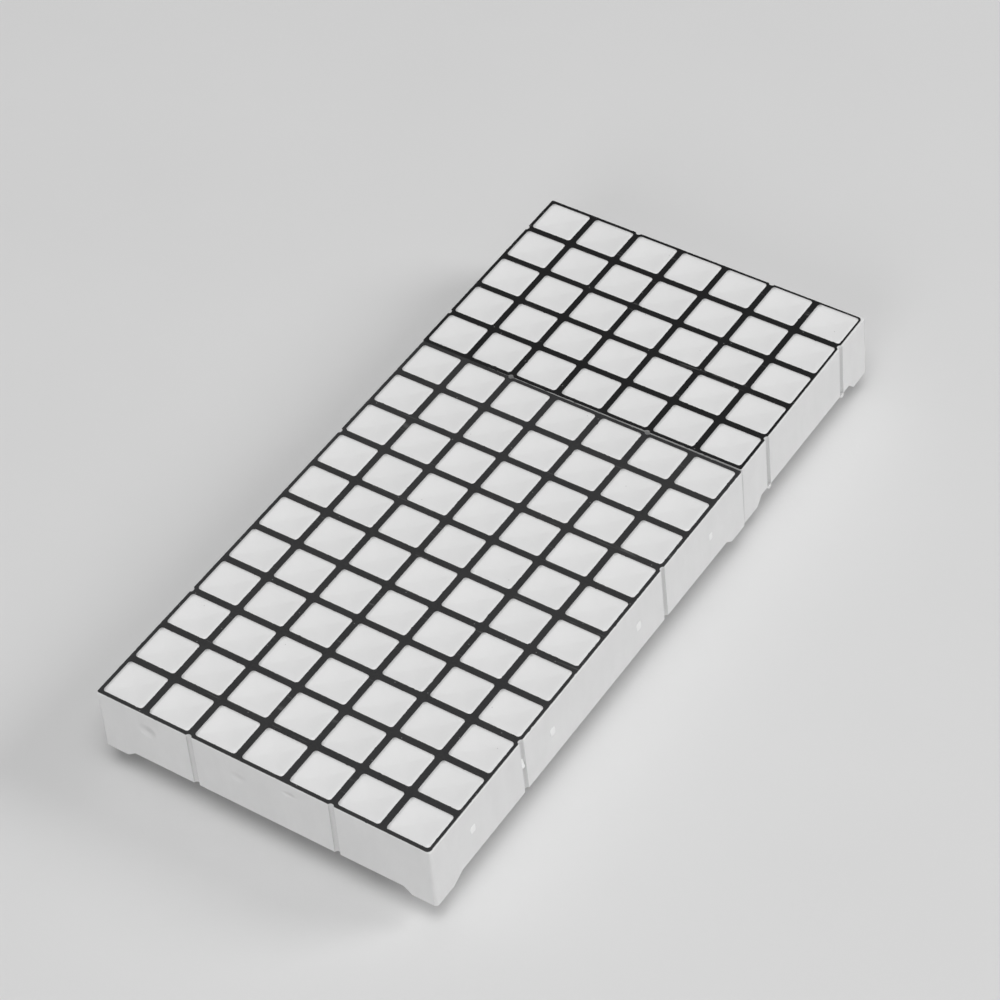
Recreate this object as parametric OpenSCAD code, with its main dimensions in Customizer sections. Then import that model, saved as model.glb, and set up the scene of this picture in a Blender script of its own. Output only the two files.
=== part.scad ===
// LED dot matrix display made of two modules that stand end to end.
// The front module has 11 rows of 7 square dots and the rear module has 5 rows.
// Each module is a moulded housing with tapered cells, an ink layer on its face,
// a milky resin casting that fills the cells and seals the back, and a circuit
// board with one light chip and one bond wire for each dot, carried on round pins.

/* [Dot grid] */
// Distance between dot columns, centre to centre
column_pitch = 5.9; // [4.8:0.1:7.2]
// Distance between dot rows, centre to centre
row_pitch = 5.4; // [4.4:0.1:6.6]
// Number of dot columns in both modules
columns = 7; // [5:1:9]
// Number of dot rows in the front module
front_rows = 11; // [8:1:14]
// Number of dot rows in the rear module
rear_rows = 5; // [4:1:7]
// Width of the dark line between dots on the front module
front_line = 0.8; // [0.6:0.05:1.2]
// Width of the dark line between dots on the rear module
rear_line = 0.75; // [0.6:0.05:1.2]
// Corner radius of a dot
dot_corner = 0.35; // [0.2:0.05:0.6]
// How far the top of a dot lies below the top of the ink
dot_recess = 0.02; // [0.01:0.01:0.05]

/* [Housing] */
// Height of a housing from the undersides of its feet to its face
housing_height = 8.2; // [7.4:0.1:10]
// Draft of the outer walls in degrees
wall_draft = 1.2; // [0.5:0.1:2]
// Thickness of the outer wall round the board, measured at the face
wall = 1.2; // [0.8:0.1:1.6]
// How far the face reaches past a whole number of pitches on each side
face_reach = 0.07; // [0:0.01:0.2]
// Radius round the edge of the face
edge_radius = 0.06; // [0.04:0.01:0.15]
// Radius of the upright corners at the face
corner_radius = 0.25; // [0.25:0.05:1]
// Thickness of the dark ink on the face
ink_thickness = 0.06; // [0.03:0.01:0.15]

/* [Cells] */
// Depth of a cell from the face to its floor
cell_depth = 4.7; // [3.8:0.1:5]
// Depth of the straight land at the mouth of a cell
cell_land = 0.5; // [0.2:0.1:1.5]
// Side of the square opening in the floor of a cell
cell_floor = 2.9; // [2.7:0.1:3.3]

/* [Feet and grooves] */
// Height of the feet of the front module
front_foot = 0.8; // [0.5:0.05:1]
// Height of the feet of the rear module
rear_foot = 1.05; // [0.5:0.05:1.1]
// Length of a foot along each wall
foot_length = 3; // [2:0.1:4]
// Length of the slope at the end of a foot
foot_slope = 1; // [0.5:0.1:2]
// Length of that slope on the front feet of the front module, along its side walls
long_slope = 1.7; // [0.5:0.1:2.4]
// Radius of the grooves down the walls
groove_radius = 0.38; // [0.2:0.01:0.6]
// Depth of the grooves
groove_depth = 0.3; // [0.15:0.01:0.35]
// Columns between a corner and the nearest groove of an end wall
end_groove_columns = 2; // [1:1:2]
// Rows between a corner and the nearest groove of a front module side wall
front_groove_rows = 3; // [1:1:3]
// Rows between a corner and the nearest groove of a rear module side wall
rear_groove_rows = 1; // [1:1:1]
// Width of the nibs below the grooves of the rear module
nib_width = 0.9; // [0.8:0.1:1.4]
// Height of those nibs
nib_height = 0.5; // [0.2:0.05:0.6]
// Length of the slope on one side of a nib
nib_slope = 0.4; // [0:0.05:0.6]

/* [Board] */
// Thickness of the circuit board
board_thickness = 1; // [0.8:0.1:1.2]
// Gap between the edge of the board and the housing wall
board_gap = 0.3; // [0.2:0.05:0.5]
// Thickness of the resin between the cell floors and the board
bond_layer = 0.35; // [0.3:0.05:0.5]
// Thickness of the resin behind the board
back_layer = 0.85; // [0.8:0.05:0.9]
// Thickness of the copper
copper_thickness = 0.04; // [0.03:0.01:0.07]
// Width of the copper tracks
track_width = 0.4; // [0.2:0.05:0.6]
// Radius of the posts that locate the board
post_radius = 0.6; // [0.4:0.05:0.8]
// Gap between a post and its hole in the board
post_clearance = 0.05; // [0.03:0.01:0.1]

/* [Light chips] */
// Side of a light chip
chip_side = 0.3; // [0.2:0.05:0.4]
// Height of a light chip
chip_height = 0.2; // [0.15:0.05:0.25]
// Distance from a chip to the pad that its bond wire ends on
bond_reach = 1; // [0.8:0.05:1.1]
// Width and thickness of a bond wire
wire_width = 0.05; // [0.03:0.01:0.08]

/* [Pins] */
// Diameter of a pin below the housing
pin_diameter = 0.5; // [0.4:0.05:0.6]
// Diameter of a pin where the board and the resin hold it
shank_diameter = 0.6; // [0.6:0.05:0.7]
// Length of the chamfer at the tip of a pin
pin_chamfer = 0.15; // [0.05:0.05:0.2]
// Distance between the pins of a row
pin_pitch = 2.54; // [2:0.01:2.54]
// Number of pins in each row of the front module
front_pins = 9; // [5:1:11]
// Number of pins in each row of the rear module
rear_pins = 6; // [4:1:8]
// Length of a pin of the front module below its feet
pin_stand = 3.2; // [2.5:0.1:5]
// Gap round a pin in its board hole, which the solder fills
solder_gap = 0.15; // [0.1:0.05:0.25]

/* [Placement] */
// Gap between the two housings where they come closest
seam_gap = 0.02; // [0.01:0.01:1]
// Sideways shift of the rear module
rear_shift = -0.4; // [-1:0.01:1]
// Turn of the rear module in degrees
rear_turn = 0.2; // [0:0.01:1]
// How much lower the rear module stands, on pins that are shorter by as much
rear_drop = 0.45; // [0:0.05:1]

/* [Hidden] */
$fn = 48;

// Heights above the pin tips
face_z = pin_stand + housing_height;
dot_top_z = face_z + ink_thickness - dot_recess;
cell_floor_z = face_z - cell_depth;
board_top_z = cell_floor_z - bond_layer;
board_bottom_z = board_top_z - board_thickness;
copper_top_z = board_top_z + copper_thickness;
copper_bottom_z = board_bottom_z - copper_thickness;
back_z = board_bottom_z - back_layer;
pin_top_z = board_top_z + 0.7 * bond_layer;

// Outline of a module at its face, and how much wider the draft makes it at its feet
module_w = columns * column_pitch + 2 * face_reach;
flare = housing_height * tan(wall_draft);
past = 1; // how far a cutter runs past what it cuts

// Board details
pin_radius = pin_diameter / 2;
shank_radius = shank_diameter / 2;
hole_radius = shank_radius + solder_gap;
pad_radius = hole_radius + 0.35;
solder_rise = 0.5 * bond_layer;
solder_drop = 0.6 * back_layer;
chip_pad = chip_side + 0.5;
bond_pad = 0.6;
via_radius = 0.15;
pin_row_x = (columns / 2 - 1) * column_pitch; // under the rib beside the outer columns
post_x = (columns / 2 - 2) * column_pitch;

function module_l(rows) = rows * row_pitch + 2 * face_reach;
function column_x(column) = (column - (columns - 1) / 2) * column_pitch;
function row_y(row, rows) = (row - (rows - 1) / 2) * row_pitch;
function pin_y(place, pins) = (place - (pins - 1) / 2) * pin_pitch;
function post_y(rows) = (rows / 2 - 1) * row_pitch;

// Places of the two modules. The rear one turns about its front left corner,
// and the middle of the whole display stands on the origin.
corner_reach = corner_radius + flare;
front_corner_x = module_w / 2 - corner_radius;
pivot_x = rear_shift - front_corner_x;
pivot_y = module_l(front_rows) / 2 + flare + seam_gap + corner_reach;
rear_span_x = module_w - 2 * corner_radius;
rear_span_y = module_l(rear_rows) - 2 * corner_radius;
left_x = min(-module_w / 2 - flare, pivot_x - rear_span_y * sin(rear_turn) - corner_reach);
right_x = max(module_w / 2 + flare, pivot_x + rear_span_x * cos(rear_turn) + corner_reach);
front_y = -module_l(front_rows) / 2 - flare;
rear_y = pivot_y + rear_span_x * sin(rear_turn) + rear_span_y * cos(rear_turn) + corner_reach;

module at_front() {
    translate([-(left_x + right_x) / 2, -(front_y + rear_y) / 2, 0]) children();
}

module at_rear() {
    at_front() translate([pivot_x, pivot_y, -rear_drop]) rotate([0, 0, rear_turn])
        translate([rear_span_x / 2, rear_span_y / 2, 0]) children();
}

// Children at every dot centre
module at_dots(rows) {
    for (column = [0 : columns - 1], row = [0 : rows - 1])
        translate([column_x(column), row_y(row, rows)]) children();
}

// Children at every pin of both rows
module at_pins(pins) {
    for (side = [-1, 1], place = [0 : pins - 1])
        translate([side * pin_row_x, pin_y(place, pins)]) children();
}

module at_posts(rows) {
    for (side_x = [-1, 1], side_y = [-1, 1])
        translate([side_x * post_x, side_y * post_y(rows)]) children();
}

// Rectangle with round corners
module round_rect(w, l, r) {
    square([w - 2 * r, l], center = true);
    square([w, l - 2 * r], center = true);
    for (side_x = [-1, 1], side_y = [-1, 1])
        translate([side_x * (w / 2 - r), side_y * (l / 2 - r)]) circle(r);
}

// Puts an outline upright, drawn in X and Z, and runs it along Y
module along_y(length) {
    rotate([90, 0, 0]) linear_extrude(length, center = true) children();
}

// Puts an outline upright, drawn in Y and Z, and runs it along X
module along_x(length) {
    rotate([90, 0, 90]) linear_extrude(length, center = true) children();
}

// Section from the middle of a housing out to one side: the drafted outer face
// runs into the face through an arc that is tangent to both
module side_section(reach) {
    arc_x = reach + edge_radius * tan(wall_draft) - edge_radius / cos(wall_draft);
    arc_z = face_z - edge_radius;
    polygon([
        [0, pin_stand],
        [reach + flare, pin_stand],
        [arc_x + edge_radius * cos(wall_draft), arc_z + edge_radius * sin(wall_draft)],
        [arc_x, face_z],
        [0, face_z]
    ]);
    translate([arc_x, arc_z]) circle(edge_radius);
}

// Solid block with drafted sides, drafted round corners and a round edge to its face
module drafted_block(w, l) {
    inner_w = w - 2 * corner_radius;
    inner_l = l - 2 * corner_radius;
    for (side = [0, 1]) {
        mirror([side, 0, 0]) along_y(inner_l) side_section(w / 2);
        mirror([0, side, 0]) along_x(inner_w) side_section(l / 2);
    }
    for (side_x = [-1, 1], side_y = [-1, 1])
        translate([side_x * inner_w / 2, side_y * inner_l / 2, 0])
            rotate_extrude() side_section(corner_radius);
}

// Outline of the gap between two feet, with a slope at each end
module foot_gap(half_span, foot, first_slope) {
    low = half_span - foot_length;
    polygon([
        [-low, pin_stand - past], [low, pin_stand - past], [low, pin_stand],
        [low - foot_slope, pin_stand + foot], [first_slope - low, pin_stand + foot],
        [-low, pin_stand]
    ]);
}

// Outline of a nib that hangs from the wall above a gap, with a slope on one side
module nib(top_z) {
    polygon([
        [-nib_width / 2, top_z + past], [nib_width / 2, top_z + past],
        [nib_width / 2, top_z], [nib_width / 2 - 0.05, top_z - nib_height],
        [nib_slope - nib_width / 2, top_z - nib_height], [-nib_width / 2, top_z]
    ]);
}

// What the feet stand clear of. The nibs stay if the module has them.
module foot_gaps(rows, foot, first_slope, groove_rows, nibs) {
    across = module_w + 2 * flare + 2 * past;
    along = module_l(rows) + 2 * flare + 2 * past;
    top_z = pin_stand + foot;
    difference() {
        union() {
            along_y(along) foot_gap(module_w / 2 + flare, foot, foot_slope);
            along_x(across) foot_gap(module_l(rows) / 2 + flare, foot, first_slope);
        }
        if (nibs)
            for (side = [-1, 1]) {
                translate([side * (columns / 2 - end_groove_columns) * column_pitch, 0])
                    along_y(along + past) nib(top_z);
                translate([0, side * (rows / 2 - groove_rows) * row_pitch])
                    along_x(across + past) nib(top_z);
            }
    }
}

// One round groove that leans with the draft of a wall on the +X side
module groove(reach, length) {
    translate([reach + groove_radius - groove_depth, 0, face_z]) rotate([0, -wall_draft, 0])
        translate([0, 0, -length]) cylinder(r = groove_radius, h = length + past);
}

module grooves(rows, groove_rows, length) {
    for (side = [-1, 1], turn = [0, 180]) {
        translate([0, side * (rows / 2 - groove_rows) * row_pitch, 0])
            rotate([0, 0, turn]) groove(module_w / 2, length);
        translate([side * (columns / 2 - end_groove_columns) * column_pitch, 0, 0])
            rotate([0, 0, turn + 90]) groove(module_l(rows) / 2, length);
    }
}

// Section of a row of cells: a straight land at the mouth, then a taper to the floor
module cell_section(mouth) {
    polygon([
        [-cell_floor / 2, cell_floor_z], [cell_floor / 2, cell_floor_z],
        [mouth / 2, face_z - cell_land], [mouth / 2, dot_top_z],
        [-mouth / 2, dot_top_z], [-mouth / 2, face_z - cell_land]
    ]);
}

// Outlines of all the dots of a module
module dot_outlines(rows, line) {
    at_dots(rows) round_rect(column_pitch - line, row_pitch - line, dot_corner);
}

// All the cells of a module at once. Long channels along the columns cross long
// channels along the rows, and what they share is one tapered cell at each dot.
module cells(rows, line) {
    intersection() {
        along_y(module_l(rows))
            for (column = [0 : columns - 1])
                translate([column_x(column), 0]) cell_section(column_pitch - line);
        along_x(module_w)
            for (row = [0 : rows - 1])
                translate([row_y(row, rows), 0]) cell_section(row_pitch - line);
        translate([0, 0, cell_floor_z]) linear_extrude(dot_top_z - cell_floor_z)
            dot_outlines(rows, line);
    }
}

// Space behind the cells, from a height up to the cell floors
module recess(rows, from_z) {
    translate([0, 0, from_z]) linear_extrude(cell_floor_z - from_z)
        round_rect(module_w - 2 * wall, module_l(rows) - 2 * wall, corner_radius);
}

module posts(rows) {
    translate([0, 0, board_bottom_z - 0.3 * back_layer])
        linear_extrude(cell_floor_z - board_bottom_z + 0.3 * back_layer)
            at_posts(rows) circle(post_radius);
}

// The grooves run out at the bottom edge, or end on the nibs if there are any
module housing(rows, line, foot, first_slope, groove_rows, nibs) {
    difference() {
        drafted_block(module_w, module_l(rows));
        foot_gaps(rows, foot, first_slope, groove_rows, nibs);
        grooves(rows, groove_rows, nibs ? housing_height - foot : housing_height + past);
        recess(rows, pin_stand - past);
        cells(rows, line);
    }
    posts(rows);
}

module face_ink(rows, line, groove_rows) {
    inset = 2 * edge_radius;
    difference() {
        translate([0, 0, face_z]) linear_extrude(ink_thickness) difference() {
            round_rect(module_w - inset, module_l(rows) - inset, corner_radius - edge_radius);
            dot_outlines(rows, line);
        }
        grooves(rows, groove_rows, housing_height);
    }
}

module board(rows, pins) {
    w = module_w - 2 * wall - 2 * board_gap;
    l = module_l(rows) - 2 * wall - 2 * board_gap;
    translate([0, 0, board_bottom_z]) linear_extrude(board_thickness) difference() {
        square([w, l], center = true);
        at_pins(pins) circle(hole_radius);
        at_posts(rows) circle(post_radius + post_clearance);
        at_dots(rows) translate([0, bond_reach]) circle(via_radius);
    }
}

// Row tracks with chip pads on top, column tracks below, and the vias that join
// each bond pad to its column. Rings lie round the pins on both sides.
module copper(rows, pins) {
    span_x = (columns - 1) * column_pitch;
    span_y = (rows - 1) * row_pitch;
    translate([0, 0, board_top_z]) linear_extrude(copper_thickness) difference() {
        union() {
            for (row = [0 : rows - 1])
                translate([0, row_y(row, rows)]) square([span_x, track_width], center = true);
            at_dots(rows) square(chip_pad, center = true);
            at_dots(rows) translate([0, bond_reach]) square(bond_pad, center = true);
            at_pins(pins) circle(pad_radius);
        }
        at_pins(pins) circle(hole_radius);
    }
    translate([0, 0, board_bottom_z]) linear_extrude(board_thickness)
        at_dots(rows) translate([0, bond_reach]) circle(via_radius);
    translate([0, 0, copper_bottom_z]) linear_extrude(copper_thickness) difference() {
        union() {
            for (column = [0 : columns - 1])
                translate([column_x(column), bond_reach / 2])
                    square([track_width, span_y + bond_reach + bond_pad], center = true);
            at_pins(pins) circle(pad_radius);
        }
        at_pins(pins) circle(hole_radius);
        at_posts(rows) circle(post_radius + post_clearance);
    }
}

module chips(rows) {
    translate([0, 0, copper_top_z]) linear_extrude(chip_height)
        at_dots(rows) square(chip_side, center = true);
}

// A bond wire seen from the side: half a ring from the top of the chip down to its
// pad. The ring leans by the height of the chip, and what it meets trims its ends.
module bond_wire_side() {
    lean = atan(chip_height / bond_reach);
    span = sqrt(bond_reach * bond_reach + chip_height * chip_height);
    difference() {
        translate([bond_reach / 2, chip_height / 2]) difference() {
            circle((span + wire_width) / 2);
            circle((span - wire_width) / 2);
            rotate(-lean) translate([-span, -2 * span - wire_width]) square(2 * span);
        }
        translate([-chip_side / 2, 0]) square([chip_side, chip_height]);
        translate([-past, -past]) square([bond_reach + 2 * past, past]);
    }
}

module bond_wires(rows) {
    for (column = [0 : columns - 1])
        translate([column_x(column), 0, 0]) along_x(wire_width)
            for (row = [0 : rows - 1])
                translate([row_y(row, rows), copper_top_z]) bond_wire_side();
}

// A pin has a thicker shank from the back of the resin up
module pin(tip_z) {
    leg_z = tip_z + pin_chamfer;
    translate([0, 0, tip_z]) cylinder(r1 = pin_radius - pin_chamfer, r2 = pin_radius, h = pin_chamfer);
    translate([0, 0, leg_z]) cylinder(r = pin_radius, h = back_z - leg_z);
    translate([0, 0, back_z]) cylinder(r = shank_radius, h = pin_top_z - back_z);
}

module pin_row(side, pins, tip_z) {
    for (place = [0 : pins - 1])
        translate([side * pin_row_x, pin_y(place, pins), 0]) pin(tip_z);
}

// Solder fills the gap round each pin and climbs it on both sides of the board
module solder(pins) {
    at_pins(pins) rotate_extrude() polygon([
        [shank_radius, copper_bottom_z - solder_drop],
        [pad_radius - 0.1, copper_bottom_z],
        [hole_radius, copper_bottom_z],
        [hole_radius, copper_top_z],
        [pad_radius - 0.1, copper_top_z],
        [shank_radius, copper_top_z + solder_rise]
    ]);
}

// The resin fills the cells nearly to the top of the ink and flows round the board
module resin(rows, line, pins, tip_z) {
    difference() {
        union() {
            cells(rows, line);
            recess(rows, back_z);
        }
        board(rows, pins);
        copper(rows, pins);
        chips(rows);
        bond_wires(rows);
        posts(rows);
        pin_row(-1, pins, tip_z);
        pin_row(1, pins, tip_z);
        solder(pins);
    }
}

module front_housing() {
    color("whitesmoke") at_front()
        housing(front_rows, front_line, front_foot, long_slope, front_groove_rows, false);
}

module front_face_ink() {
    color("dimgray") at_front() face_ink(front_rows, front_line, front_groove_rows);
}

module front_resin() {
    color("gainsboro") at_front() resin(front_rows, front_line, front_pins, 0);
}

module front_board() {
    color("seagreen") at_front() board(front_rows, front_pins);
}

module front_copper() {
    color("peru") at_front() copper(front_rows, front_pins);
}

module front_chips() {
    color("gold") at_front() chips(front_rows);
}

module front_bond_wires() {
    color("goldenrod") at_front() bond_wires(front_rows);
}

module front_solder() {
    color("lightsteelblue") at_front() solder(front_pins);
}

module front_left_pins() {
    color("silver") at_front() pin_row(-1, front_pins, 0);
}

module front_right_pins() {
    color("silver") at_front() pin_row(1, front_pins, 0);
}

module rear_housing() {
    color("whitesmoke") at_rear()
        housing(rear_rows, rear_line, rear_foot, foot_slope, rear_groove_rows, true);
}

module rear_face_ink() {
    color("darkslategray") at_rear() face_ink(rear_rows, rear_line, rear_groove_rows);
}

module rear_resin() {
    color("gainsboro") at_rear() resin(rear_rows, rear_line, rear_pins, rear_drop);
}

module rear_board() {
    color("seagreen") at_rear() board(rear_rows, rear_pins);
}

module rear_copper() {
    color("peru") at_rear() copper(rear_rows, rear_pins);
}

module rear_chips() {
    color("gold") at_rear() chips(rear_rows);
}

module rear_bond_wires() {
    color("goldenrod") at_rear() bond_wires(rear_rows);
}

module rear_solder() {
    color("lightsteelblue") at_rear() solder(rear_pins);
}

module rear_left_pins() {
    color("silver") at_rear() pin_row(-1, rear_pins, rear_drop);
}

module rear_right_pins() {
    color("silver") at_rear() pin_row(1, rear_pins, rear_drop);
}

front_housing();
front_face_ink();
front_resin();
front_board();
front_copper();
front_chips();
front_bond_wires();
front_solder();
front_left_pins();
front_right_pins();
rear_housing();
rear_face_ink();
rear_resin();
rear_board();
rear_copper();
rear_chips();
rear_bond_wires();
rear_solder();
rear_left_pins();
rear_right_pins();
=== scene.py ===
import math

import bmesh
import bpy
from mathutils import Matrix, Quaternion, Vector, noise


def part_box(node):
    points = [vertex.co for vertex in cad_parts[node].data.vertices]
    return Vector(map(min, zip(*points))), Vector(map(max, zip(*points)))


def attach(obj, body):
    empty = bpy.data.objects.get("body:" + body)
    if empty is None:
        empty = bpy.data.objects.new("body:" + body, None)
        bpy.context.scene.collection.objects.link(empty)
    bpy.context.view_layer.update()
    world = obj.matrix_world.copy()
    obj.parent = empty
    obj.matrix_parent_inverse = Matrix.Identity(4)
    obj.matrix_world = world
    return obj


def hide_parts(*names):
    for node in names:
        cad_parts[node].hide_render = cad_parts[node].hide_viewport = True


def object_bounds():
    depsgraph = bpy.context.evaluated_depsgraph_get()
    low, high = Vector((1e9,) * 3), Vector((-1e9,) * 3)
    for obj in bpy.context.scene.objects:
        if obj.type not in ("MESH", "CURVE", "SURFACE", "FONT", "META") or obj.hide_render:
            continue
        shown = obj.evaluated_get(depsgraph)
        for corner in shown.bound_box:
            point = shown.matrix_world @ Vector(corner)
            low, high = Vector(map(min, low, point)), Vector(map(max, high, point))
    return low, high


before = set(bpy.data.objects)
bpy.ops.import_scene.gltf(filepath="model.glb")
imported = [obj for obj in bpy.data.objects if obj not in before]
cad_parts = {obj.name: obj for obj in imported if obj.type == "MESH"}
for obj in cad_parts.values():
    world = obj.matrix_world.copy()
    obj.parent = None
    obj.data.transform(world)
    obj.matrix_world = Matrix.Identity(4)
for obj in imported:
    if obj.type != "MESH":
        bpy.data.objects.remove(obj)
cad_low, cad_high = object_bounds()

MM = 0.001
# Vertices nearer to each other than this are joined, and a face this near to a mesh's top is a top face
WELD = 0.0005 * MM
FLAT = 0.005 * MM

# The pitch of the grid of dots, and the draft of the housing's walls in degrees
COLUMN_PITCH_MM = 5.9
ROW_PITCH_MM = 5.4
WALL_DRAFT = 1.2

# The camera: its target from the middle of the front module's face, its direction and roll in degrees
CAMERA_TARGET_MM = (0.438, 13.387, 0.0)
CAMERA_AZIMUTH = 37.515
CAMERA_ELEVATION = 46.055
CAMERA_ROLL = -5.698
CAMERA_DISTANCE_MM = 360.32
CAMERA_LENS_MM = 121.57
CAMERA_SENSOR_MM = 36.0
CAMERA_CLIP = (0.01, 20.0)

# Each light's name, azimuth and elevation in degrees, distance and width in metres, and power in watts
LIGHTS = (
    ("overhead", 40, 72, 2.0, 1.33, 22.6),
    ("right", 125, 32, 2.0, 0.89, 14.3),
    ("front", 15, 28, 2.0, 0.89, 7.5),
)
SKY_STRENGTH = 0.12
FLOOR_REACH = 3.0

# The edge of the printed ink: how finely it is drawn, how much it wavers, and a finer waver's share of that
INK_STEP_MM = 0.16
INK_WAVER_MM = 0.016
INK_FINE_SHARE = 0.6
# How fast a nick deepens with its noise, and the strength of noise at which it starts
INK_NICK_MM = 0.16
INK_NICK_START = 0.38
# The noises that shape the edge, each with its frequency per millimetre and the height it is read at
WAVER_NOISE = (1.9, 3.0)
FINE_NOISE = (6.0, 9.0)
NICK_NOISE = (2.6, 17.0)

# Where the seam is narrow the ink reaches this much further out. That fades away across the module, from
# the first place to the second. Points within the band belong to the seam's edge.
SEAM_INK_REACH_MM = 0.06
SEAM_INK_FADE_MM = (-17.0, -1.0)
SEAM_BAND_MM = 0.2

# How far the ink stops short of the housing's edge: at the front and rear end of the right-hand edge, and
# at the right-hand end of the rear edge. Points within the band belong to these edges.
INK_SHORT_MM = {"front": (0.10, 0.0, 0.0), "rear": (0.04, 0.19, 0.16)}
EDGE_BAND_MM = 1.0
# The way out to the corner where a module's ink is rounder than its housing, and the radius there
INK_ROUND_CORNER = {"front": (1, -1), "rear": (1, 1)}
INK_CORNER_MM = 0.5

# How far the resin sinks in the middle of a dot, and the rings that draw the hollow
DOT_SINK_MM = 0.22
DOT_RINGS = 7

# Marks that the mould left on the front module's right wall. Each is the place along the wall from the
# module's middle, the depth below the face, the half width, the half height and how proud it stands.
MOULD_MARKS_MM = (
    (-22.8, 3.65, 0.46, 0.54, 0.085),
    (-8.2, 3.75, 0.44, 0.60, 0.085),
    (8.35, 3.85, 0.46, 0.60, 0.085),
    (22.9, 3.70, 0.32, 0.52, 0.075),
)
# The remains of the gate in a groove of the same wall, standing on the groove's floor
GATE_MARK_MM = (-13.6, 3.4, 0.38, 0.62, 0.37)
GROOVE_DEPTH_MM = 0.3
# The steps of a mark's grid across and up, the place of its crest between -1 at its foot and 1 at its top,
# and how much it narrows towards both
MARK_STEPS = (10, 16)
MARK_CREST = -0.55
MARK_NARROWING = 0.6
# How deep a mark's edge and its back lie in the wall, as shares of how proud it stands
MARK_EDGE_DEPTH = 0.1
MARK_BACK_DEPTH = 2.0

# Sink marks on the front wall: the place across and the depth below the face, the reach and the hollow
SINK_MARKS_MM = (
    ((-14.5, 2.55), (1.3, 1.0, 1.1), 0.24),
    ((-3.0, 2.9), (1.2, 1.0, 0.8), 0.12),
    ((3.5, 1.6), (1.1, 1.0, 0.5), 0.14),
)

# ShaderNodeMix has sockets for each kind of data, and these are its colours and their blend
MIX_COLOURS = (6, 7)
MIX_BLEND = 2


# ---------------------------------------------------------------- places

def face_middle(end):
    """The middle of a module's face, on top of its ink."""
    low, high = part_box(f"{end}_face_ink")
    return Vector(((low.x + high.x) / 2, (low.y + high.y) / 2, high.z))


def corners(points, axes):
    """The lowest and the highest corner of the box round some points."""
    return [Vector([pick(p[axis] for p in points) for axis in range(axes)]) for pick in (min, max)]


def look_from(azimuth, elevation):
    """Unit vector from the object towards a viewer. Azimuth 0 looks along +Y."""
    turn, rise = math.radians(azimuth), math.radians(elevation)
    return Vector((math.sin(turn) * math.cos(rise), -math.cos(turn) * math.cos(rise), math.sin(rise)))


def add_to_scene(name, data):
    thing = bpy.data.objects.new(name, data)
    bpy.context.scene.collection.objects.link(thing)
    return thing


# ---------------------------------------------------------------- node helpers

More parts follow.
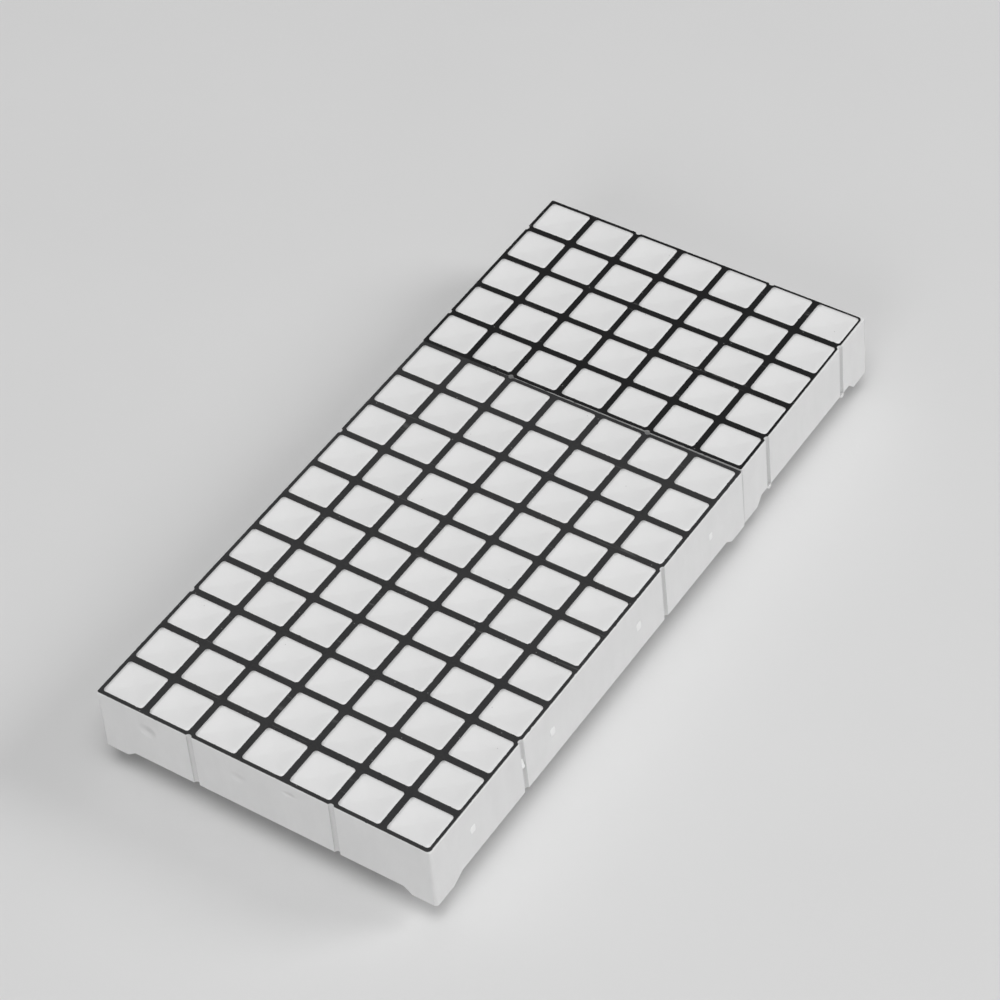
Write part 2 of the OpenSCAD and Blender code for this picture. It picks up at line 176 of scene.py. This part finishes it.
class Nodes:
    """A material's node tree, with short calls to add nodes and link them."""

    def __init__(self, name):
        self.material = bpy.data.materials.new(name)
        self.material.use_nodes = True
        self.tree = self.material.node_tree
        self.tree.nodes.clear()
        self.output = self.add("ShaderNodeOutputMaterial")
        self.shader = self.add("ShaderNodeBsdfPrincipled")
        self.link(self.shader.outputs["BSDF"], self.output.inputs["Surface"])
        place = self.add("ShaderNodeTexCoord")
        to_mm = self.add("ShaderNodeMapping", {"Scale": (1 / MM, 1 / MM, 1 / MM)})
        self.link(place.outputs["Object"], to_mm.inputs["Vector"])
        self.place = to_mm.outputs["Vector"]  # the row frame, in millimetres

    def add(self, kind, inputs=None, **settings):
        node = self.tree.nodes.new(kind)
        for key, value in settings.items():
            setattr(node, key, value)
        for key, value in (inputs or {}).items():
            node.inputs[key].default_value = value
        return node

    def link(self, source, target):
        self.tree.links.new(source, target)

    def set(self, **values):
        """Sets the shader's own sockets; a name's underscores stand for spaces."""
        for key, value in values.items():
            self.shader.inputs[key.replace("_", " ")].default_value = value

    def mapped(self, **inputs):
        """The place on the object after a change of scale, a turn and a shift."""
        node = self.add("ShaderNodeMapping", inputs)
        self.link(self.place, node.inputs["Vector"])
        return node.outputs["Vector"]

    def noise(self, size_mm, detail=3.0, roughness=0.5, squeeze=(1, 1, 1)):
        """Noise whose blotches are about size_mm across, from 0 to 1."""
        inputs = {"Scale": 1 / size_mm, "Detail": detail, "Roughness": roughness}
        node = self.add("ShaderNodeTexNoise", inputs)
        self.link(self.mapped(Scale=squeeze), node.inputs["Vector"])
        return node.outputs["Fac"]

    def specks(self, spacing_mm, radius_mm):
        """1 at the middle of specks scattered over a level face, and 0 between them."""
        cells = self.add("ShaderNodeTexVoronoi", {"Scale": 1 / spacing_mm}, voronoi_dimensions="2D")
        self.link(self.place, cells.inputs["Vector"])
        return self.remap(cells.outputs["Distance"], radius_mm / spacing_mm, 0.0, 0.0, 1.0)

    def scratches(self, spacing_mm, turn, width_mm):
        """1 along fine straight scratches, broken up so that they come and go."""
        lines = self.add(
            "ShaderNodeTexVoronoi", {"Scale": 1 / spacing_mm},
            voronoi_dimensions="2D", feature="DISTANCE_TO_EDGE",
        )
        drawn_out = self.mapped(Rotation=(0, 0, math.radians(turn)), Scale=(0.03, 1, 1))
        self.link(drawn_out, lines.inputs["Vector"])
        line = self.remap(lines.outputs["Distance"], width_mm / spacing_mm, 0.0, 0.0, 1.0)
        return self.product(line, self.remap(self.noise(3.0), 0.55, 0.62, 0.0, 1.0))

    def crevice_shade(self, reach_mm):
        """How much shade to paint, from ambient occlusion: 0 on open surfaces, rising to 1 deep in grooves
        and along inner corners.
        """
        node = self.add("ShaderNodeAmbientOcclusion", {"Distance": reach_mm * MM}, samples=8)
        return self.remap(node.outputs["AO"], 0.95, 0.45, 0.0, 1.0)

    def sink_mark(self, middle, reach):
        """0 in the middle of a shallow sink mark, rising to 1 at its edge and beyond."""
        scale = [1 / length for length in reach]
        shift = [-place / length for place, length in zip(middle, reach)]
        distance = self.add("ShaderNodeVectorMath", operation="LENGTH")
        self.link(self.mapped(Scale=scale, Location=shift), distance.inputs[0])
        slope = self.add("ShaderNodeMapRange", interpolation_type="SMOOTHSTEP")
        self.link(distance.outputs["Value"], slope.inputs["Value"])
        return slope.outputs["Result"]

    def per_dot(self, end):
        """A random number from 0 to 1 for each cell of a module's grid of dots."""
        middle = face_middle(end) / MM
        scale = (1 / COLUMN_PITCH_MM, 1 / ROW_PITCH_MM, 0)
        shift = (0.5 - middle.x / COLUMN_PITCH_MM, 0.5 - middle.y / ROW_PITCH_MM, 0)
        cell = self.add("ShaderNodeVectorMath", operation="FLOOR")
        self.link(self.mapped(Scale=scale, Location=shift), cell.inputs[0])
        random = self.add("ShaderNodeTexWhiteNoise", noise_dimensions="2D")
        self.link(cell.outputs["Vector"], random.inputs["Vector"])
        return random.outputs["Value"]

    def product(self, first, second):
        node = self.add("ShaderNodeMath", operation="MULTIPLY")
        self.link(first, node.inputs[0])
        self.link(second, node.inputs[1])
        return node.outputs["Value"]

    def remap(self, value, from_low, from_high, to_low, to_high):
        inputs = {"From Min": from_low, "From Max": from_high, "To Min": to_low, "To Max": to_high}
        node = self.add("ShaderNodeMapRange", inputs)
        self.link(value, node.inputs["Value"])
        return node.outputs["Result"]

    def blend(self, factor, first, second):
        """A colour from first to second as factor goes from 0 to 1. Either may be a colour or a socket."""
        node = self.add("ShaderNodeMix", data_type="RGBA")
        self.link(factor, node.inputs["Factor"])
        for index, value in zip(MIX_COLOURS, (first, second)):
            if isinstance(value, tuple):
                node.inputs[index].default_value = (*value, 1.0)
            else:
                self.link(value, node.inputs[index])
        return node.outputs[MIX_BLEND]

    def colour(self, socket):
        self.link(socket, self.shader.inputs["Base Color"])

    def roughness(self, value, low, high):
        """Varies the roughness with a noise, which stays between 0.3 and 0.7 nearly everywhere."""
        self.link(self.remap(value, 0.3, 0.7, low, high), self.shader.inputs["Roughness"])

    def bumps(self, *layers):
        """Stacks bump layers. Each is (height socket, depth in mm)."""
        normal = None
        for height, depth_mm in layers:
            node = self.add("ShaderNodeBump", {"Strength": 1.0, "Distance": depth_mm * MM})
            self.link(height, node.inputs["Height"])
            if normal is not None:
                self.link(normal, node.inputs["Normal"])
            normal = node.outputs["Normal"]
        self.link(normal, self.shader.inputs["Normal"])

    def let_light_in(self, weight, depth_mm):
        """Scatters light below the surface, the same for all colours."""
        self.set(Subsurface_Weight=weight, Subsurface_Radius=(1.0, 1.0, 1.0), Subsurface_Scale=depth_mm * MM)


def grey(value):
    return (value, value, value)


# ---------------------------------------------------------------- materials

def moulded_plastic():
    look = Nodes("moulded_plastic")
    clean = look.blend(look.noise(5.0), grey(0.80), grey(0.84))
    streaks = look.remap(look.noise(1.6, 5.0, 0.6, (1, 1, 0.35)), 0.35, 0.7, 0.0, 1.0)
    flow = look.blend(streaks, grey(0.79), clean)
    # Painted shade: grooves, seams and inner corners are darkened towards grey 0.5 by ambient occlusion
    look.colour(look.blend(look.crevice_shade(0.8), flow, grey(0.50)))
    look.roughness(look.noise(0.7), 0.42, 0.54)
    low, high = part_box("front_housing")
    across = face_middle("front").x / MM
    sinks = [
        (look.sink_mark((across + x, low.y / MM, high.z / MM - depth), reach), hollow)
        for (x, depth), reach, hollow in SINK_MARKS_MM
    ]
    waves, ripples, grain = look.noise(6.0, 1.0), look.noise(1.2, 3.0), look.noise(0.09, 2.0)
    look.bumps((waves, 0.06), *sinks, (ripples, 0.006), (grain, 0.002))
    look.let_light_in(0.05, 0.2)
    look.set(IOR=1.49)
    return look.material


def highlit_mark_plastic():
    """The housing's plastic on the mould marks: paler than the housing, which paints in part of the
    highlight the marks catch, and with a coarser grain.
    """
    look = Nodes("highlit_mark_plastic")
    # Partly painted highlight: greys of 0.90 to 0.95 against the housing's 0.80 to 0.84
    look.colour(look.blend(look.noise(0.25, 4.0, 0.6), grey(0.90), grey(0.95)))
    look.roughness(look.noise(0.3), 0.36, 0.50)
    look.bumps((look.noise(0.35, 2.0), 0.02), (look.noise(0.09, 2.0), 0.003))
    look.let_light_in(0.05, 0.1)
    look.set(IOR=1.49)
    return look.material


def printed_ink(name, dark, light, specular):
    look = Nodes(name)
    grain = look.blend(look.remap(look.noise(0.3, 4.0, 0.65), 0.3, 0.7, 0.0, 1.0), dark, light)
    tone = look.blend(look.remap(look.noise(4.5, 2.0), 0.40, 0.62, 0.0, 0.5), grain, light)
    scratched = look.blend(look.scratches(2.2, 33, 0.05), tone, grey(0.085))
    look.colour(look.blend(look.specks(3.6, 0.09), scratched, grey(0.26)))
    look.roughness(look.noise(0.25), 0.50, 0.62)
    look.bumps((look.noise(0.12, 2.0), 0.002))
    look.set(Specular_IOR_Level=specular)
    return look.material


def milky_resin(end):
    look = Nodes(f"{end}_milky_resin")
    milk = look.blend(look.noise(3.0), grey(0.83), grey(0.86))
    cast = look.blend(look.per_dot(end), grey(0.822), milk)
    look.colour(look.blend(look.specks(13.0, 0.08), cast, grey(0.42)))
    look.roughness(look.noise(0.5), 0.38, 0.50)
    look.bumps((look.noise(2.2, 1.0), 0.02), (look.noise(0.10, 2.0), 0.001))
    look.let_light_in(0.3, 0.5)
    look.set(IOR=1.52)
    return look.material


def circuit_board():
    look = Nodes("circuit_board")
    weave = look.noise(0.4, 2.0, squeeze=(1, 6, 1))
    look.colour(look.blend(weave, (0.05, 0.17, 0.07), (0.08, 0.24, 0.11)))
    look.roughness(look.noise(0.3), 0.32, 0.42)
    look.bumps((weave, 0.003))
    return look.material


def metal(name, dark, light, rough_low, rough_high, grain_mm=0.15):
    look = Nodes(name)
    look.colour(look.blend(look.noise(0.6), dark, light))
    look.roughness(look.noise(grain_mm), rough_low, rough_high)
    look.bumps((look.noise(grain_mm, 2.0, squeeze=(1, 1, 0.2)), 0.003))
    look.set(Metallic=1.0)
    return look.material


def floor_paper():
    look = Nodes("floor_paper")
    look.colour(look.blend(look.noise(30.0), grey(0.72), grey(0.75)))
    look.roughness(look.noise(4.0), 0.8, 0.9)
    look.bumps((look.noise(0.5, 2.0), 0.01))
    return look.material


def paint_cad_nodes():
    """Gives every CAD node its material. Returns the ink and the resin of each module by its end."""
    tin = metal("tinned_steel", (0.56, 0.56, 0.57), (0.70, 0.70, 0.71), 0.24, 0.38)
    finishes = {
        "housing": moulded_plastic(),
        "board": circuit_board(),
        "copper": metal("copper_foil", (0.72, 0.38, 0.24), (0.84, 0.48, 0.32), 0.30, 0.42),
        "chips": metal("chip_gold", (0.70, 0.52, 0.20), (0.84, 0.66, 0.30), 0.25, 0.35, 0.05),
        "bond_wires": metal("wire_gold", (0.86, 0.66, 0.26), (0.95, 0.76, 0.36), 0.18, 0.26, 0.05),
        "solder": metal("solder", (0.62, 0.62, 0.63), (0.76, 0.76, 0.77), 0.18, 0.30),
        "left_pins": tin,
        "right_pins": tin,
    }
    inks = {
        "front": printed_ink("front_ink", (0.024, 0.024, 0.025), (0.038, 0.038, 0.039), 0.35),
        "rear": printed_ink("rear_ink", (0.008, 0.008, 0.0085), (0.0145, 0.0145, 0.015), 0.25),
    }
    resins = {end: milky_resin(end) for end in inks}
    for name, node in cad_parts.items():
        end, kind = name.split("_", 1)
        material = {"face_ink": inks[end], "resin": resins[end], **finishes}[kind]
        node.data.materials.clear()
        node.data.materials.append(material)
    return inks, resins


# ---------------------------------------------------------------- mesh helpers

def welded(mesh):
    """A mesh as a bmesh in which vertices at the same place are joined."""
    bm = bmesh.new()
    bm.from_mesh(mesh)
    bmesh.ops.remove_doubles(bm, verts=bm.verts, dist=WELD)
    return bm


def top_faces(bm):
    top = max(v.co.z for v in bm.verts) - FLAT
    return [f for f in bm.faces if all(v.co.z > top for v in f.verts)]


def rims(bm, faces, order):
    """The closed outlines of some faces, each a list of vertices from the first one in the order."""
    inside = set(faces)
    neighbours = {}
    for edge in bm.edges:
        if sum(face in inside for face in edge.link_faces) == 1:
            for vertex, other in (edge.verts, reversed(edge.verts)):
                neighbours.setdefault(vertex, []).append(other)
    outlines, seen = [], set()
    for start in sorted(neighbours, key=order):
        if start in seen:
            continue
        outline, vertex = [], start
        while vertex is not None:
            seen.add(vertex)
            outline.append(vertex)
            vertex = next((v for v in neighbours[vertex] if v not in seen), None)
        outlines.append(outline)
    return outlines


def piece_from(bm, name, material):
    """Turns a bmesh into an object in the scene with one material."""
    mesh = bpy.data.meshes.new(name)
    bm.to_mesh(mesh)
    bm.free()
    mesh.materials.append(material)
    return add_to_scene(name, mesh)


# ---------------------------------------------------------------- printed ink

def border_loops(mesh):
    """The closed outlines of a mesh's top face, each a list of points in millimetres."""
    bm = welded(mesh)
    outlines = rims(bm, top_faces(bm), order=lambda v: v.index)
    loops = [[v.co.xy / MM for v in outline] for outline in outlines]
    bm.free()
    return loops


def area(loop):
    """Positive when the outline runs anticlockwise."""
    return sum(a.x * b.y - b.x * a.y for a, b in zip(loop, loop[1:] + loop[:1])) / 2


def seam_reach(point, seam_y):
    """How much further out the ink comes along the seam, on the side where the seam is narrow."""
    if abs(point.y - seam_y) > SEAM_BAND_MM:
        return 0.0
    start, stop = SEAM_INK_FADE_MM
    fade = min(1.0, max(0.0, (stop - point.x) / (stop - start)))
    return SEAM_INK_REACH_MM * fade


def draw_in(points, end):
    """Moves the outer outline in where the ink stops short of the housing's edge."""
    low, high = corners(points, 2)
    short_front, short_rear, short_right = INK_SHORT_MM[end]
    for point in points:
        across, along = ((point[axis] - low[axis]) / (high[axis] - low[axis]) for axis in (0, 1))
        on_right, on_rear = point.x > high.x - EDGE_BAND_MM, point.y > high.y - EDGE_BAND_MM
        if on_right:
            point.x -= short_front + (short_rear - short_front) * along
        if on_rear:
            point.y -= short_right * across


def round_corner(points, end):
    """Rounds the corner where a module's ink is rounder than its housing."""
    outward = Vector(INK_ROUND_CORNER[end])
    tip = max(points, key=outward.dot)
    near = [p for p in points if (p - tip).length < 2 * INK_CORNER_MM]
    reach = Vector([max(p[axis] * outward[axis] for p in near) - INK_CORNER_MM for axis in (0, 1)])
    middle = reach * outward
    for point in near:
        offset = point - middle
        if min(offset * outward) > 0 and offset.length > INK_CORNER_MM:
            point.xy = middle + offset.normalized() * INK_CORNER_MM


def edge_noise(point, frequency, height):
    return noise.noise(Vector((point.x * frequency, point.y * frequency, height)))


def wear(point):
    """How far a point of the ink's edge lies beside its outline, from the waver and the nicks."""
    nick = edge_noise(point, *NICK_NOISE)
    waver = edge_noise(point, *WAVER_NOISE) + INK_FINE_SHARE * edge_noise(point, *FINE_NOISE)
    depth = INK_WAVER_MM * waver
    if abs(nick) > INK_NICK_START:
        depth += math.copysign(INK_NICK_MM * (abs(nick) - INK_NICK_START), nick)
    return depth


def worn_loop(loop, end, seam_y, seam_way):
    """The outline drawn finely, with a slight waver and a few nicks, as a printed edge has."""
    outer = abs(area(loop)) > 2 * COLUMN_PITCH_MM * ROW_PITCH_MM
    points = []
    for start, stop in zip(loop, loop[1:] + loop[:1]):
        along = stop - start
        steps = max(1, round(along.length / INK_STEP_MM))
        across = Vector((-along.y, along.x)).normalized()
        for step in range(steps):
            point = start + along * step / steps
            worn = point + across * wear(point)
            if outer:
                worn.y += seam_way * seam_reach(point, seam_y)
            points.append(worn)
    if outer:
        draw_in(points, end)
        round_corner(points, end)
    return points


def flat_mesh(loops, thickness_mm):
    """A mesh in millimetres, flat and level, that fills the outlines and leaves the inner ones open."""
    curve = bpy.data.curves.new("ink_outline", "CURVE")
    curve.dimensions = "2D"
    curve.fill_mode = "BOTH"
    curve.extrude = thickness_mm / 2
    for points in loops:
        spline = curve.splines.new("POLY")
        spline.points.add(len(points) - 1)
        for target, point in zip(spline.points, points):
            target.co = (point.x, point.y, 0, 1)
        spline.use_cyclic_u = True
    outline = add_to_scene("ink_outline", curve)
    mesh = bpy.data.meshes.new_from_object(outline)
    bpy.data.objects.remove(outline)
    bpy.data.curves.remove(curve)
    return mesh


def print_ink(end, material):
    """A printed layer with irregular edges stands for a module's flat ink."""
    node_name = f"{end}_face_ink"
    low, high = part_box(node_name)
    seam_y, seam_way = (high.y / MM, 1) if end == "front" else (low.y / MM, -1)
    outlines = border_loops(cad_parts[node_name].data)
    loops = [worn_loop(outline, end, seam_y, seam_way) for outline in outlines]
    mesh = flat_mesh(loops, (high.z - low.z) / MM)
    mesh.transform(Matrix.Translation((0, 0, (low.z + high.z) / 2)) @ Matrix.Scale(MM, 4))
    piece = piece_from(welded(mesh), f"{end}_ink_print", material)
    bpy.data.meshes.remove(mesh)
    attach(piece, "root")
    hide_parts(node_name)


# ---------------------------------------------------------------- cast resin

def sink_dot(bm, rim):
    """Fills a dot's rim with rings of faces that dip towards its middle."""
    low, high = corners([v.co for v in rim], 3)
    middle, half = (low + high) / 2, (high - low) / 2
    outer = rim
    for ring in range(1, DOT_RINGS):
        share = 1 - ring / DOT_RINGS
        inner = []
        for vertex in rim:
            offset = (vertex.co - middle) * share
            across, along = offset.x / half.x, offset.y / half.y
            offset.z = -DOT_SINK_MM * MM * (1 - across * across) * (1 - along * along)
            inner.append(bm.verts.new(middle + offset))
        for i, vertex in enumerate(outer):
            j = (i + 1) % len(outer)
            bm.faces.new((vertex, outer[j], inner[j], inner[i])).smooth = True
        outer = inner
    bottom = bm.verts.new(middle - Vector((0, 0, DOT_SINK_MM * MM)))
    for vertex, following in zip(outer, outer[1:] + outer[:1]):
        bm.faces.new((vertex, following, bottom)).smooth = True


def cast_dots(end, material):
    """The resin with a shallow hollow in each dot, where it shrank as it set."""
    node_name = f"{end}_resin"
    bm = welded(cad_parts[node_name].data)
    tops = top_faces(bm)
    outlines = rims(bm, tops, order=lambda v: (round(v.co.x, 7), round(v.co.y, 7)))
    bmesh.ops.delete(bm, geom=tops, context="FACES_KEEP_BOUNDARY")
    for outline in outlines:
        sink_dot(bm, outline)
    bmesh.ops.recalc_face_normals(bm, faces=bm.faces)
    piece = piece_from(bm, f"{end}_resin_casting", material)
    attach(piece, "root")
    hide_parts(node_name)


# ---------------------------------------------------------------- marks of the mould

def add_mark(bm, middle, half_width, half_height, proud):
    """A low swelling on a wall that faces +X. It rises slowly from its top to a crest near its foot."""
    wide, tall = MARK_STEPS
    grid = []
    for row in range(tall + 1):
        up = 2 * row / tall - 1
        if up > MARK_CREST:
            rise = (1 - up) / (1 - MARK_CREST)
        else:
            rise = math.sin(math.pi / 2 * (1 + up) / (1 + MARK_CREST))
        line = []
        for column in range(wide + 1):
            across = 2 * column / wide - 1
            on_edge = row in (0, tall) or column in (0, wide)
            height = -MARK_EDGE_DEPTH * proud if on_edge else proud * rise * (1 - across ** 4)
            y = half_width * across * math.sqrt(1 - MARK_NARROWING * up ** 4)
            line.append(bm.verts.new((middle + Vector((height, y, half_height * up))) * MM))
        grid.append(line)
    for lower, upper in zip(grid, grid[1:]):
        for i in range(wide):
            bm.faces.new((lower[i], lower[i + 1], upper[i + 1], upper[i])).smooth = True
    right_side = [line[-1] for line in grid[1:-1]]
    left_side = [line[0] for line in grid[-2:0:-1]]
    border = grid[0] + right_side + grid[-1][::-1] + left_side
    back = bm.verts.new((middle - Vector((MARK_BACK_DEPTH * proud, 0, 0))) * MM)
    for start, stop in zip(border, border[1:] + border[:1]):
        bm.faces.new((stop, start, back))


def mark_right_wall(name, marks, sunk_mm, material):
    """One piece with all the marks of a kind on the front module's right wall."""
    low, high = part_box("front_housing")
    middle_y = face_middle("front").y / MM
    bm = bmesh.new()
    for along, depth, *sizes in marks:
        above_foot = (high.z - low.z) / MM - depth
        x = high.x / MM - above_foot * math.tan(math.radians(WALL_DRAFT)) - sunk_mm
        add_mark(bm, Vector((x, middle_y + along, high.z / MM - depth)), *sizes)
    piece = piece_from(bm, name, material)
    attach(piece, "root")


# ---------------------------------------------------------------- studio

def place_camera():
    back = look_from(CAMERA_AZIMUTH, CAMERA_ELEVATION)
    target = face_middle("front") + Vector(CAMERA_TARGET_MM) * MM
    data = bpy.data.cameras.new("camera")
    data.lens = CAMERA_LENS_MM
    data.sensor_width = CAMERA_SENSOR_MM
    data.clip_start, data.clip_end = CAMERA_CLIP
    camera = add_to_scene("camera", data)
    camera.location = target + back * CAMERA_DISTANCE_MM * MM
    camera.rotation_mode = "QUATERNION"
    roll = Quaternion((0, 0, 1), math.radians(CAMERA_ROLL))
    camera.rotation_quaternion = (-back).to_track_quat("-Z", "Y") @ roll
    bpy.context.scene.camera = camera


def soft_light(name, azimuth, elevation, distance, width, watts):
    data = bpy.data.lights.new(name, "AREA")
    data.shape = "DISK"
    data.size = width
    data.energy = watts
    light = add_to_scene(name, data)
    back = look_from(azimuth, elevation)
    light.location = back * distance
    light.rotation_mode = "QUATERNION"
    light.rotation_quaternion = (-back).to_track_quat("-Z", "Y")


def light_studio():
    world = bpy.data.worlds.new("studio")
    world.use_nodes = True
    background = world.node_tree.nodes["Background"]
    background.inputs["Color"].default_value = (1, 1, 1, 1)
    background.inputs["Strength"].default_value = SKY_STRENGTH
    bpy.context.scene.world = world
    for light in LIGHTS:
        soft_light(*light)


def lay_floor():
    ways = ((-1, -1), (1, -1), (1, 1), (-1, 1))
    mesh = bpy.data.meshes.new("floor")
    mesh.from_pydata([(x * FLOOR_REACH, y * FLOOR_REACH, 0) for x, y in ways], [], [(0, 1, 2, 3)])
    mesh.materials.append(floor_paper())
    floor = add_to_scene("floor", mesh)
    floor.location.z = cad_low.z


module_inks, module_resins = paint_cad_nodes()
for module_end, ink in module_inks.items():
    print_ink(module_end, ink)
    cast_dots(module_end, module_resins[module_end])
# The marks' paler plastic paints in part of the highlight they catch
mark_plastic_highlit = highlit_mark_plastic()
mark_right_wall("right_wall_marks", MOULD_MARKS_MM, 0.0, mark_plastic_highlit)
mark_right_wall("gate_mark", [GATE_MARK_MM], GROOVE_DEPTH_MM, mark_plastic_highlit)
light_studio()
lay_floor()
place_camera()
bpy.context.scene.view_settings.view_transform = "Standard"
